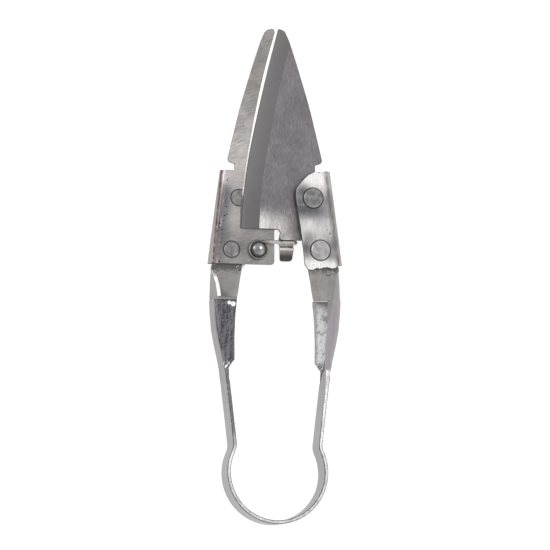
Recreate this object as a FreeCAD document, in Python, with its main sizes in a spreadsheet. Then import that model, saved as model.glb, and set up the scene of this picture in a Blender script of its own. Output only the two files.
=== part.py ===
import FreeCAD
import Part
import Sketcher
import math
import os

# Spring-bow thread snips lying flat.  Millimetres, +Z up, tips towards +Y.
# Every sub-part is drawn about the shear plane (local Z = 0), the plane in which
# the two blades slide on each other, and then lifted by half the strip depth, so
# the origin is under the middle of the tool on the surface it lies on.
# The left-hand pieces are right-hand pieces turned half a turn about the Y axis.

doc = FreeCAD.newDocument("thread_snips")

DIMENSIONS = [
    ("strip_depth", 7.5),
    ("strip_gauge", 0.9),
    ("plate_gauge", 1.0),
    ("blade_clearance", 0.025),
    ("tip_y", 63.3),
    ("blade_foot_y", 11.7),
    ("socket_top_y", 26.6),
    ("socket_foot_y", 2.7),
    ("socket_top_x", 14.0),
    ("socket_foot_x", 17.15),
    ("bevel_land", 0.24),
    ("edge_land", 0.04),
    ("honed_width", 0.75),
    ("upper_rivet_x", 9.3),
    ("upper_rivet_y", 19.6),
    ("lower_rivet_x", 11.2),
    ("lower_rivet_y", 6.35),
    ("shank_radius", 1.5),
    ("rivet_hole_radius", 1.52),
    ("rivet_head_radius", 2.5),
    ("rivet_head_height", 0.55),
    ("rivet_head_round", 0.3),
    ("flush_head_radius", 2.0),
    ("flush_head_depth", 0.5),
    ("stud_x", 4.5),
    ("stud_y", 6.35),
    ("stud_shank_radius", 1.1),
    ("stud_hole_radius", 1.12),
    ("stud_neck_radius", 1.5),
    ("stud_dome_radius", 2.15),
    ("stud_dome_height", 1.15),
    ("wire_radius", 0.485),
    ("eye_radius", 2.05),
    ("catch_reach_x", 5.5),
    ("hook_depth", 2.3),
    ("shoulder_top_y", 1.1),
    ("shoulder_foot_y", -6.6),
    ("grip_foot_y", -27.2),
    ("leg_foot_y", -40.0),
    ("loop_centre_y", -50.1),
    ("loop_radius", 12.55),
    ("neck_radius", 4.5),
]

sheet = doc.addObject("Spreadsheet::Sheet", "Dims")
for row, (name, value) in enumerate(DIMENSIONS, 1):
    sheet.set("A%d" % row, name)
    sheet.set("B%d" % row, str(value))
    sheet.setAlias("B%d" % row, name)
doc.recompute()
size = dict(DIMENSIONS)

half_depth = size["strip_depth"] / 2
gauge = size["strip_gauge"]
plate = size["plate_gauge"]
clearance = size["blade_clearance"]
# levels of the folded stack above the shear plane: blade plate, handle tang, flap
plate_top = clearance + plate
tang_top = plate_top + gauge
flap_top = tang_top + plate
fold_level = (clearance + flap_top) / 2
fold_radius = (flap_top - clearance) / 2
fold_bore = gauge / 2
fold_top_x = size["socket_top_x"] - fold_radius
fold_foot_x = size["socket_foot_x"] - fold_radius


def vector(across, along, up=0.0):
    return FreeCAD.Vector(across, along, up)


def new_body(label, left=False):
    """A body lifted to its working height; left-hand ones are turned about Y."""
    body = doc.addObject("PartDesign::Body", label)
    body.Label = label
    turn = FreeCAD.Rotation(vector(0, 1), 180 if left else 0)
    body.Placement = FreeCAD.Placement(vector(0, 0, half_depth), turn)
    body.setExpression("Placement.Base.z", "Dims.strip_depth / 2")
    return body


def origin_plane(body, role):
    for feature in body.Origin.OriginFeatures:
        if feature.Role == role:
            return feature
    raise ValueError(role)


def new_sketch(body, name, role, offset=None):
    """A sketch on an origin plane; offset is an expression along its normal."""
    sketch = body.newObject("Sketcher::SketchObject", name)
    sketch.AttachmentSupport = (origin_plane(body, role), [""])
    sketch.MapMode = "FlatFace"
    if offset is not None:
        sketch.setExpression("AttachmentOffset.Base.z", offset)
    doc.recompute()
    return sketch


def rounded_outline(corners):
    """Line and arc geometry of a closed outline of (across, along, radius) corners."""
    count = len(corners)
    entries = []
    exits = []
    middles = []
    for index, (across, along, radius) in enumerate(corners):
        here = vector(across, along)
        before = vector(*corners[index - 1][:2])
        after = vector(*corners[(index + 1) % count][:2])
        back = (before - here)
        ahead = (after - here)
        room = 0.49 * min(back.Length, ahead.Length)
        back.normalize()
        ahead.normalize()
        angle = back.getAngle(ahead)
        if radius <= 0 or abs(angle - math.pi) < 0.002:
            entries.append(here)
            exits.append(here)
            middles.append(None)
            continue
        reach = min(radius / math.tan(angle / 2), room)
        radius = reach * math.tan(angle / 2)
        bisector = (back + ahead).normalize()
        centre_distance = radius / math.sin(angle / 2)
        entries.append(here + back * reach)
        exits.append(here + ahead * reach)
        middles.append(here + bisector * (centre_distance - radius))
    geometry = []
    for index in range(count):
        if middles[index] is not None:
            geometry.append(Part.Arc(entries[index], middles[index], exits[index]))
        following = (index + 1) % count
        if (entries[following] - exits[index]).Length > 1e-6:
            geometry.append(Part.LineSegment(exits[index], entries[following]))
    return geometry


def draw(sketch, geometry):
    for item in geometry:
        sketch.addGeometry(item, False)


def draw_circle(sketch, across, along, radius, expression):
    index = sketch.addGeometry(Part.Circle(vector(across, along), vector(0, 0, 1), radius), False)
    constraint = sketch.addConstraint(Sketcher.Constraint("Radius", index, radius))
    sketch.setExpression("Constraints[%d]" % constraint, expression)


def pad_outline(body, name, corners, level, thickness, symmetric=False):
    """Pad a rounded outline drawn in the XY plane; level and thickness are expressions."""
    sketch = new_sketch(body, name + "_outline", "XY_Plane", level)
    draw(sketch, rounded_outline(corners))
    pad = body.newObject("PartDesign::Pad", name)
    pad.Profile = sketch
    pad.Midplane = symmetric
    pad.setExpression("Length", thickness)
    doc.recompute()
    return pad


def cut_through(body, name, circles):
    """Drill round holes right through the body, (across, along, radius name)."""
    sketch = new_sketch(body, name + "_circles", "XY_Plane")
    for across, along, radius_name in circles:
        draw_circle(sketch, across, along, size[radius_name], "Dims." + radius_name)
    pocket = body.newObject("PartDesign::Pocket", name)
    pocket.Profile = sketch
    pocket.Midplane = True
    pocket.Length = 4 * size["strip_depth"]
    doc.recompute()
    return pocket


def sheet_section(path, gauge_here):
    """Closed section of bent sheet from (across, up, bend radius) along its outer face.

    The sheet lies on the right-hand side of the path as it is walked.  A bend
    radius belongs to the outer face; the other face gets the concentric radius.
    """
    points = [vector(across, up) for across, up, radius in path]
    offsets = []
    radii = []
    for index, point in enumerate(points):
        normals = []
        if index > 0:
            step = point - points[index - 1]
            normals.append(vector(step.y, -step.x).normalize())
        if index < len(points) - 1:
            step = points[index + 1] - point
            normals.append(vector(step.y, -step.x).normalize())
        if len(normals) == 1:
            offsets.append(point + normals[0] * gauge_here)
            radii.append(0)
            continue
        middle = (normals[0] + normals[1]).normalize()
        offsets.append(point + middle * (gauge_here / middle.dot(normals[0])))
        turn = normals[0].x * normals[1].y - normals[0].y * normals[1].x
        inner = path[index][2] + gauge_here if turn > 0 else path[index][2] - gauge_here
        radii.append(max(inner, 0.08))
    outer = [(point.x, point.y, path[index][2]) for index, point in enumerate(points)]
    inner = [(point.x, point.y, radii[index]) for index, point in enumerate(offsets)]
    return rounded_outline(outer + inner[::-1])


def loft_sections(body, name, stations, kind="PartDesign::AdditiveLoft", ruled=True):
    """Loft through sections in XZ planes; stations are (along, geometry)."""
    sketches = []
    for number, (along, geometry) in enumerate(stations, 1):
        # the XZ plane's normal points to -Y
        sketch = new_sketch(body, "%s_section_%d" % (name, number), "XZ_Plane")
        sketch.AttachmentOffset = FreeCAD.Placement(vector(0, 0, -along), FreeCAD.Rotation())
        draw(sketch, geometry)
        sketches.append(sketch)
    doc.recompute()
    loft = body.newObject(kind, name)
    loft.Profile = sketches[0]
    loft.Sections = sketches[1:]
    loft.Ruled = ruled
    doc.recompute()
    return loft


def revolve_profile(body, name, geometry):
    """Turn a half profile in the XZ plane about the body's own Z axis."""
    sketch = new_sketch(body, name + "_profile", "XZ_Plane")
    draw(sketch, geometry)
    turned = body.newObject("PartDesign::Revolution", name)
    turned.Profile = sketch
    turned.ReferenceAxis = (sketch, ["V_Axis"])
    turned.Angle = 360
    doc.recompute()
    return turned


# ---------------------------------------------------------------- blades

cutting_edge = [(0.08, 62.7), (-2.18, 54.6), (-4.03, 46.8), (-5.6, 39.0), (-7.5, 28.5), (-8.75, 18.8)]
cutting_edge_foot = -9.05
bevel_width = 4.75


def edge_x(along):
    """Across position of the cutting edge at a height along the blade."""
    points = [(across, y) for across, y in cutting_edge]
    points.append((cutting_edge_foot, size["blade_foot_y"]))
    if along >= points[0][1]:
        return points[0][0] + (along - points[0][1]) * 0.28
    for (across_a, along_a), (across_b, along_b) in zip(points, points[1:]):
        if along >= along_b:
            share = (along - along_a) / (along_b - along_a)
            return across_a + share * (across_b - across_a)
    return points[-1][0]


def blade_body(label, left, foot_corners):
    """Plate with its spine notch, the folded socket behind it and the hollow bevels."""
    body = new_body(label, left)
    corners = [(0.22, size["tip_y"], 0.25), (2.35, size["tip_y"] - 0.25, 1.9), (3.5, 60.3, 8.0)]
    corners += [(5.45, 54.4, 120.0), (8.9, 43.0, 120.0), (12.3, 28.85, 1.0)]
    corners += [(10.3, 28.25, 0.4), (10.3, size["socket_top_y"], 0.35)]
    corners += [(fold_top_x, size["socket_top_y"], 0), (fold_foot_x, size["socket_foot_y"], 0)]
    corners += foot_corners
    corners += [(cutting_edge_foot, size["blade_foot_y"], 0.15)]
    corners += [(across, along, 120.0) for across, along in reversed(cutting_edge)]
    pad_outline(body, "plate", corners, "Dims.blade_clearance", "Dims.plate_gauge")
    # the side flap is folded over the handle's tang
    fold_stations = []
    for across, along in [(fold_top_x, size["socket_top_y"]), (fold_foot_x, size["socket_foot_y"])]:
        centre = vector(across, fold_level)
        section = []
        section.append(Part.Arc(centre + vector(0, -fold_radius), centre + vector(fold_radius, 0),
                                centre + vector(0, fold_radius)))
        section.append(Part.LineSegment(centre + vector(0, fold_radius), centre + vector(0, fold_bore)))
        section.append(Part.Arc(centre + vector(0, fold_bore), centre + vector(fold_bore, 0),
                                centre + vector(0, -fold_bore)))
        section.append(Part.LineSegment(centre + vector(0, -fold_bore), centre + vector(0, -fold_radius)))
        fold_stations.append((along, section))
    loft_sections(body, "fold", fold_stations)
    # its sheared ends are left rough: shallow steps along the top and the foot
    flap = [(fold_foot_x, size["socket_foot_y"], 0), (fold_top_x, size["socket_top_y"], 0)]
    flap += [(11.8, 26.5, 0.3), (11.0, 26.1, 0.3), (9.9, 26.4, 0.4), (8.0, 25.4, 2.0), (6.7, 24.1, 3.0)]
    flap += [(5.1, 22.1, 1.0), (4.85, 21.2, 1.0), (4.95, 18.9, 8.0), (5.85, 13.6, 30.0), (6.6, 8.4, 30.0)]
    flap += [(7.25, 2.6, 0.5), (7.7, 2.1, 0.3), (8.0, 1.4, 0.25), (9.1, 1.3, 0.3), (10.15, 1.8, 0.4)]
    flap += [(11.0, 1.65, 0.3), (11.9, 1.9, 0.3), (12.95, 2.1, 0.4), (14.25, 1.8, 0.4), (15.3, 2.05, 0.2)]
    pad_outline(body, "flap", flap,
                "Dims.blade_clearance + Dims.plate_gauge + Dims.strip_gauge", "Dims.plate_gauge")
    # ground bevel with a narrow honed strip along the cutting edge
    stations = []
    for along in [size["tip_y"] + 2.0, 54.6, 46.8, 39.0, 28.5, 18.8, size["blade_foot_y"] - 1.0]:
        edge = edge_x(along)
        above = plate_top + 0.5
        section = rounded_outline([
            (edge + bevel_width + 0.5 * bevel_width * 0.66, above, 0),
            (edge + bevel_width, plate_top, 0),
            (edge + size["honed_width"], clearance + size["bevel_land"], 0),
            (edge - 0.05, clearance + size["edge_land"], 0),
            (edge - 2.5, clearance + size["edge_land"], 0),
            (edge - 2.5, above, 0)])
        stations.append((along, section))
    loft_sections(body, "bevel", stations, "PartDesign::SubtractiveLoft")
    return body


def rivet_holes(body, extra=()):
    holes = [(size["upper_rivet_x"], size["upper_rivet_y"], "rivet_hole_radius"),
             (size["lower_rivet_x"], size["lower_rivet_y"], "rivet_hole_radius")]
    cut_through(body, "rivet_holes", holes + list(extra))


def rivet_sinks(body):
    """Countersinks in the inner face for the flush rivet ends."""
    for place in ("upper", "lower"):
        sink = body.newObject("PartDesign::SubtractiveCone", place + "_sink")
        sink.Radius1 = size["flush_head_radius"] + 0.02 + 0.062
        sink.Radius2 = size["rivet_hole_radius"]
        sink.Height = size["flush_head_depth"] + 0.05
        spot = vector(size[place + "_rivet_x"], size[place + "_rivet_y"], clearance - 0.05)
        sink.Placement = FreeCAD.Placement(spot, FreeCAD.Rotation())
        doc.recompute()


# right blade: cut back under the catch, with a cranked tab that the catch hooks round
tab_left = 1.1
tab_right = 4.86
tab_foot_y = 3.5
foot = size["blade_foot_y"]
catch_line_y = size["stud_y"] + size["eye_radius"]
shelf_y = catch_line_y + size["wire_radius"] + 0.06
right_foot = [(8.5, size["socket_foot_y"], 0.3), (8.1, shelf_y, 0.4), (1.3, shelf_y, 0.25), (1.3, foot, 1.2)]
right_blade = blade_body("right_blade", False, right_foot)
tab_path = [(shelf_y + 1.6, plate_top, 0), (shelf_y + 0.55, plate_top, 0.9), (shelf_y - 0.1, -0.06, 0.9),
            (7.55, -0.06, 0.7), (6.75, plate_top + 0.05, 0.7), (3.45, plate_top + 0.25, 0)]
tab_sketch = new_sketch(right_blade, "tab_section", "YZ_Plane", str(tab_left))
draw(tab_sketch, sheet_section(tab_path[::-1], gauge))
tab = right_blade.newObject("PartDesign::Pad", "tab")
tab.Profile = tab_sketch
tab.Length = tab_right - tab_left
doc.recompute()
tab_trim = new_sketch(right_blade, "tab_trim", "XY_Plane", "-2")
# the tab's right edge leans in towards its foot, and both foot corners are round
draw(tab_trim, rounded_outline([(tab_right, 7.6, 0), (6.2, 7.6, 0), (6.2, 2.6, 0), (0.4, 2.6, 0),
                                (0.4, 4.6, 0), (tab_left, 4.6, 0), (tab_left, tab_foot_y, 0.9),
                                (4.15, tab_foot_y, 0.9)]))
tab_ends = right_blade.newObject("PartDesign::Pocket", "tab_ends")
tab_ends.Profile = tab_trim
tab_ends.Reversed = True
tab_ends.Length = 5
doc.recompute()
rivet_holes(right_blade)
rivet_sinks(right_blade)

# left blade: its foot carries the catch stud
left_foot = [(0.1, size["socket_foot_y"], 0.8), (0.1, foot, 0.3)]
left_blade = blade_body("left_blade", True, left_foot)
rivet_holes(left_blade, [(size["stud_x"], size["stud_y"], "stud_hole_radius")])
rivet_sinks(left_blade)

# ---------------------------------------------------------------- handle strip

slope = math.atan(0.116)
leg_half_width = gauge / 2 / math.cos(slope)


def leg_centre(along):
    """Middle of the strip in the straight leg between grip and loop."""
    return 13.15 + math.tan(slope) * (along + 24.7)


# outer face of the grip: (along, across, front lip edge, rear flange edge); the rear
# flange keeps its width down to a short diagonal cut, and the grip ends as the leg
grip_end_outer = leg_centre(size["grip_foot_y"]) + leg_half_width
grip_end_lip = grip_end_outer - gauge - 0.01
grip_stations = [(size["shoulder_foot_y"], 16.5, 13.0, 10.6), (-10.5, 16.3, 13.0, 11.0),
                 (-13.9, 16.0, 13.0, 11.15), (-17.2, 15.4, 12.5, 11.25), (-21.9, 14.3, 12.2, 11.2),
                 (-24.0, 13.85, 12.3, 12.6),
                 (size["grip_foot_y"], grip_end_outer, grip_end_lip, grip_end_lip)]

# shoulder below the blade: (along, inner edge, fold line, outer face, end of the web and
# how far it leans in there, as it starts to turn into the rear flange)
web_foot = -half_depth
shoulder_stations = [(size["shoulder_top_y"], 8.4, 14.7, 16.3, 0.7, 0.0), (0.3, 8.5, 14.65, 16.4, -0.4, 0.1),
                     (-0.9, 8.65, 14.5, 16.5, -2.0, 0.3), (-2.7, 8.85, 14.25, 16.55, -3.2, 0.6),
                     (-4.6, 9.05, 14.05, 16.54, web_foot, 0.8),
                     (size["shoulder_foot_y"], 9.25, 13.85, 16.5, web_foot, 0.95)]
flange_top_y = -6.1


def arm_body(label, left):
    body = new_body(label, left)
    tang_foot = size["shoulder_top_y"] - 0.02
    tang = [(6.3, 24.4, 1.2), (12.6, 24.4, 0.5), (fold_foot_x, size["socket_foot_y"], 0.3),
            (16.2, 2.1, 0.3), (16.3, tang_foot, 0), (8.4, tang_foot, 0), (8.3, size["socket_foot_y"], 0)]
    pad_outline(body, "tang", tang, "Dims.blade_clearance + Dims.plate_gauge", "Dims.strip_gauge")
    # the tang rises forwards below the blade into the front face of the grip, while
    # its outer side turns down into a web that grows to the strip's full depth
    shoulder = []
    for along, inner_edge, fold_line, outer, web_end, lean in shoulder_stations:
        share = (size["shoulder_top_y"] - along) / (size["shoulder_top_y"] - size["shoulder_foot_y"])
        crown = tang_top + share * (half_depth - tang_top)
        path = [(inner_edge, crown - 0.25 * share, 0), (fold_line, crown, 3.0),
                (outer, crown - 0.06 * (1 - share), 0.97 + 0.28 * share), (outer - lean, web_end, 0)]
        shoulder.append((along, sheet_section(path, gauge)))
    loft_sections(body, "shoulder", shoulder)
    # the rear flange starts a little above the foot of the shoulder's front face
    into_grip = size["shoulder_foot_y"] - 0.2
    flange_top = [(10.6, flange_top_y, 0.3), (15.3, flange_top_y, 0), (15.3, into_grip, 0),
                  (10.62, into_grip, 0)]
    pad_outline(body, "flange_top", flange_top, "-Dims.strip_depth / 2", "Dims.strip_gauge")
    grip = []
    for along, outer, lip, flange in grip_stations:
        path = [(lip, half_depth, 0), (outer, half_depth, 1.25), (outer, -half_depth, 0.98),
                (flange, -half_depth, 0)]
        if along == size["grip_foot_y"]:
            path = [(lip, half_depth, 0), (outer, half_depth, 0.1), (outer, -half_depth, 0.1),
                    (flange, -half_depth, 0)]
        grip.append((along, sheet_section(path, gauge)))
    loft_sections(body, "grip", grip)
    half = leg_half_width
    top = size["grip_foot_y"]
    bottom = size["leg_foot_y"]
    leg = [(leg_centre(top) - half, top, 0), (leg_centre(top) + half, top, 0),
           (leg_centre(bottom) + half, bottom, 0), (leg_centre(bottom) - half, bottom, 0)]
    pad_outline(body, "leg", leg, "0", "Dims.strip_depth", True)
    rivet_holes(body)
    return body


right_arm = arm_body("right_arm", False)
left_arm = arm_body("left_arm", True)

# omega-shaped bow: two leg ends, two reversed necks and the spring loop
loop_centre = vector(0, size["loop_centre_y"])
outward = vector(math.cos(slope), -math.sin(slope))
downward = vector(-math.sin(slope), -math.cos(slope))
leg_end = vector(leg_centre(size["leg_foot_y"]), size["leg_foot_y"])
reach = size["loop_radius"] + size["neck_radius"]
start = leg_end + outward * size["neck_radius"] - loop_centre
half_b = start.dot(downward)
run = -half_b - math.sqrt(half_b ** 2 - (start.dot(start) - reach ** 2))
neck_start = leg_end + downward * run
neck_centre = neck_start + outward * size["neck_radius"]
to_loop = (loop_centre - neck_centre).normalize()
neck_end = neck_centre + to_loop * size["neck_radius"]


def mirrored(point):
    return vector(-point.x, point.y)


def bow_side(shift):
    """Right half of one face of the bow, shifted outwards from the strip's middle."""
    first = leg_end + vector(shift / math.cos(slope), 0)
    second = neck_start + outward * shift
    third = neck_centre + to_loop * (size["neck_radius"] - shift)
    middle = ((second - neck_centre).normalize() + to_loop).normalize()
    middle = neck_centre + middle * (size["neck_radius"] - shift)
    return first, second, middle, third


def bow_face(shift):
    first, second, middle, third = bow_side(shift)
    bottom = loop_centre + vector(0, -(size["loop_radius"] + shift))
    pieces = [Part.LineSegment(first, second), Part.Arc(second, middle, third)]
    pieces.append(Part.Arc(third, bottom, mirrored(third)))
    pieces.append(Part.Arc(mirrored(third), mirrored(middle), mirrored(second)))
    pieces.append(Part.LineSegment(mirrored(second), mirrored(first)))
    return pieces, first


bow_spring = new_body("bow_spring")
outer_face, outer_start = bow_face(gauge / 2)
inner_face, inner_start = bow_face(-gauge / 2)
bow_sketch = new_sketch(bow_spring, "bow_outline", "XY_Plane")
draw(bow_sketch, outer_face + inner_face)
draw(bow_sketch, [Part.LineSegment(outer_start, inner_start),
                  Part.LineSegment(mirrored(outer_start), mirrored(inner_start))])
bow_pad = bow_spring.newObject("PartDesign::Pad", "bow")
bow_pad.Profile = bow_sketch
bow_pad.Midplane = True
bow_pad.setExpression("Length", "Dims.strip_depth")
doc.recompute()

# ---------------------------------------------------------------- rivets, stud and catch


def dome_arc(radius, rim, crown):
    """Arc of a spherical cap from its rim to its crown on the axis."""
    rise = crown - rim
    sphere = (radius ** 2 + rise ** 2) / (2 * rise)
    half_angle = math.asin(radius / sphere) / 2
    middle = vector(sphere * math.sin(half_angle), crown - sphere + sphere * math.cos(half_angle))
    return Part.Arc(vector(radius, rim), middle, vector(0, crown))


def rivet_body(label, place, left):
    body = new_body(label, left)
    sign = -1 if left else 1
    body.setExpression("Placement.Base.x", "%d * Dims.%s_rivet_x" % (sign, place))
    body.setExpression("Placement.Base.y", "Dims.%s_rivet_y" % place)
    radius = size["shank_radius"]
    head = size["rivet_head_radius"]
    crown = flap_top + size["rivet_head_height"]
    # peened nearly flat: a rounded rim and then a very shallow crown
    edge = size["rivet_head_round"]
    rim = crown - 0.1
    points = [vector(0, clearance), vector(size["flush_head_radius"], clearance),
              vector(radius, clearance + size["flush_head_depth"]), vector(radius, flap_top),
              vector(head, flap_top), vector(head, rim - edge)]
    geometry = [Part.LineSegment(a, b) for a, b in zip(points, points[1:])]
    inset = edge * (1 - math.sqrt(0.5))
    geometry.append(Part.Arc(points[-1], vector(head - inset, rim - inset), vector(head - edge, rim)))
    geometry.append(dome_arc(head - edge, rim, crown))
    geometry.append(Part.LineSegment(vector(0, crown), points[0]))
    revolve_profile(body, "rivet", geometry)
    return body


rivets = []
for side, left in (("right", False), ("left", True)):
    for place in ("upper", "lower"):
        rivets.append(rivet_body("%s_%s_rivet" % (side, place), place, left))

# domed stud on the left blade's foot; local +Z is up here, so it isn't turned
catch_stud = new_body("catch_stud")
catch_stud.setExpression("Placement.Base.x", "-Dims.stud_x")
catch_stud.setExpression("Placement.Base.y", "Dims.stud_y")
neck_top = 2 * size["wire_radius"] + 0.06
dome_top = neck_top + size["stud_dome_height"]
points = [vector(0, -plate_top - 0.45), vector(1.55, -plate_top - 0.3), vector(1.7, -plate_top),
          vector(size["stud_shank_radius"], -plate_top), vector(size["stud_shank_radius"], -clearance),
          vector(size["stud_neck_radius"], -clearance), vector(size["stud_neck_radius"], neck_top),
          vector(size["stud_dome_radius"], neck_top), vector(size["stud_dome_radius"], neck_top + 0.2)]
geometry = [Part.LineSegment(a, b) for a, b in zip(points, points[1:])]
geometry.append(dome_arc(size["stud_dome_radius"], neck_top + 0.2, dome_top))
geometry.append(Part.LineSegment(vector(0, dome_top), points[0]))
revolve_profile(catch_stud, "stud", geometry)

# spring wire catch: an eye round the stud's neck, a straight arm and a hook bent rearwards
catch_wire = new_body("catch_wire")
catch_wire.setExpression("Placement.Base.x", "-Dims.stud_x")
catch_wire.setExpression("Placement.Base.y", "Dims.stud_y")
wire_level = size["wire_radius"] + 0.02
eye = size["eye_radius"]
arm_end = size["catch_reach_x"] + size["stud_x"]
hook_bend = 0.75
free_end = math.radians(24)
eye_start = vector(eye * math.cos(free_end), eye * math.sin(free_end))
wire_path = new_sketch(catch_wire, "eye_path", "XY_Plane", str(wire_level))
draw(wire_path, [Part.Arc(eye_start, vector(0, -eye), vector(0, eye)),
                 Part.LineSegment(vector(0, eye), vector(arm_end - hook_bend, eye))])
wire_round = new_sketch(catch_wire, "arm_section", "YZ_Plane", str(arm_end - hook_bend))
draw_circle(wire_round, eye, wire_level, size["wire_radius"], "Dims.wire_radius")
doc.recompute()
eye_pipe = catch_wire.newObject("PartDesign::AdditivePipe", "eye_and_arm")
eye_pipe.Profile = wire_round
eye_pipe.Spine = wire_path
eye_pipe.Mode = "Frenet"
doc.recompute()
hook_path = new_sketch(catch_wire, "hook_path", "XZ_Plane", str(-eye))
bend_middle = math.sqrt(0.5) * hook_bend
draw(hook_path, [Part.Arc(vector(arm_end - hook_bend, wire_level),
                          vector(arm_end - hook_bend + bend_middle, wire_level - hook_bend + bend_middle),
                          vector(arm_end, wire_level - hook_bend)),
                 Part.LineSegment(vector(arm_end, wire_level - hook_bend),
                                  vector(arm_end, -size["hook_depth"]))])
hook_round = new_sketch(catch_wire, "hook_section", "YZ_Plane", str(arm_end - hook_bend))
draw_circle(hook_round, eye, wire_level, size["wire_radius"], "Dims.wire_radius")
doc.recompute()
hook_pipe = catch_wire.newObject("PartDesign::AdditivePipe", "hook")
hook_pipe.Profile = hook_round
hook_pipe.Spine = hook_path
hook_pipe.Mode = "Frenet"
doc.recompute()

# ---------------------------------------------------------------- check and write

sub_parts = [bow_spring, left_arm, right_arm, left_blade, right_blade] + rivets + [catch_stud, catch_wire]
doc.recompute()
for item in doc.Objects:
    if "Invalid" in item.State or "Error" in item.State:
        raise RuntimeError("feature failed: " + item.Label)
    if item.isDerivedFrom("PartDesign::Feature") and item.Shape.Volume < 1:
        raise RuntimeError("empty feature: " + item.Label)
os.makedirs("parts", exist_ok=True)
for item in sub_parts:
    shape = item.Shape
    if shape.isNull() or not shape.isValid() or len(shape.Solids) != 1:
        raise RuntimeError("bad solid: " + item.Label)
    shape.exportStep("parts/%s.step" % item.Label)
    box = shape.optimalBoundingBox()
    print("%-18s volume %8.1f  X %6.2f %6.2f  Y %7.2f %7.2f  Z %5.2f %5.2f" % (
        item.Label, shape.Volume, box.XMin, box.XMax, box.YMin, box.YMax, box.ZMin, box.ZMax))
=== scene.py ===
import math

import bmesh
import bpy
from mathutils import Matrix, Vector, noise
from mathutils.bvhtree import BVHTree


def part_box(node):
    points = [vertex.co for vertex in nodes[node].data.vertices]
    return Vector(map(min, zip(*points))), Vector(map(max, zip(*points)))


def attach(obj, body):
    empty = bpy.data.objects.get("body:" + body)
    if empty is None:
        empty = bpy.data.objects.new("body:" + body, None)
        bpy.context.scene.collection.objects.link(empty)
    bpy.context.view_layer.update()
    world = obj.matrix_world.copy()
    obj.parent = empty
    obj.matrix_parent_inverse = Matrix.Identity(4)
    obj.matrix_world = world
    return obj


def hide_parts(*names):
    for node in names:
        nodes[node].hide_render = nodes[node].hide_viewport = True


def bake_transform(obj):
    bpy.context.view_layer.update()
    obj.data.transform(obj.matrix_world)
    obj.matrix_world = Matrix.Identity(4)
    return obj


# Spring-bow thread snips.  The frame is in metres: +Z up, tips towards +Y.  Sizes of the
# tool are in millimetres, and MM turns them into metres.  Lamps, floor and the points
# between which the bow bends are in metres.
# Dimensions are for the right-hand side.  The left-hand one is the same turned half a
# turn about Y, but for the feet of the blades: the right has the tab, the left the stud.

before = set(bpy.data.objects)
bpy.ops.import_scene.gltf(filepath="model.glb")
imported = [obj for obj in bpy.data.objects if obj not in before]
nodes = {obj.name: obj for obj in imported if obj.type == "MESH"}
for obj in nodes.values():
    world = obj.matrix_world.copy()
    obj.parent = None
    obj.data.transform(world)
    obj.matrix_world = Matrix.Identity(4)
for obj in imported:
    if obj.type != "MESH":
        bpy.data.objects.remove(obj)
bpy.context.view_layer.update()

MM = 0.001
SHEAR_Z = 3.75                       # height of the plane the blades slide in
PLATE = 1.0                          # thickness of a blade
# the cutting edge from the tip down, as (across, along)
CUTTING_EDGE = [(0.08, 62.7), (-2.18, 54.6), (-4.03, 46.8), (-5.6, 39.0), (-7.5, 28.5),
                (-8.75, 18.8), (-9.05, 11.7)]
TIP_SLOPE = 0.28                     # how fast the edge runs across above its first point
# across = ((a t + b) t + c) t + d with t = (along - 40) / 10 runs close to CUTTING_EDGE
EDGE_CUBIC = (-0.0147, 0.2070, 2.0103, -5.4396)
HONED_WIDTH = 0.75
BEVEL_FOOT_Y = 10.5                  # bevel and honed strip lie above this
SOCKET_TOP_Y = 27.2                  # flap and fold lie below this
FOLD_X = 12.0                        # the fold lies outside this
TAB_FROM_X, TAB_TO_X, TAB_TOP_Y = 0.9, 5.0, 7.9             # the tab lies below the last
RIVETS = [("upper", 9.3, 19.6), ("lower", 11.2, 6.35)]      # (place, across, along)
STUD = (-4.5, 6.35)                  # where the catch's stud stands, on the left blade's foot
SHOULDER_FOOT_Y = -6.6               # where the shoulder meets the grip
FLANGE_FOOT_Y = -24.2                # below this the strip is leg and bow, with plain edges
LEG_FOOT_Y = -40.0                   # where an arm's leg runs on into the bow
BOW_END_Y = -63.0


def sign_of(side):
    """1 on the right and -1 on the left, where the same piece is turned over."""
    return 1 if side == "right" else -1


# ---------------- shader helpers

def set_range(node, low, high, out_low, out_high):
    """Make a Map Range node take low..high to out_low..out_high."""
    node.inputs["From Min"].default_value = low
    node.inputs["From Max"].default_value = high
    node.inputs["To Min"].default_value = out_low
    node.inputs["To Max"].default_value = out_high


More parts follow.
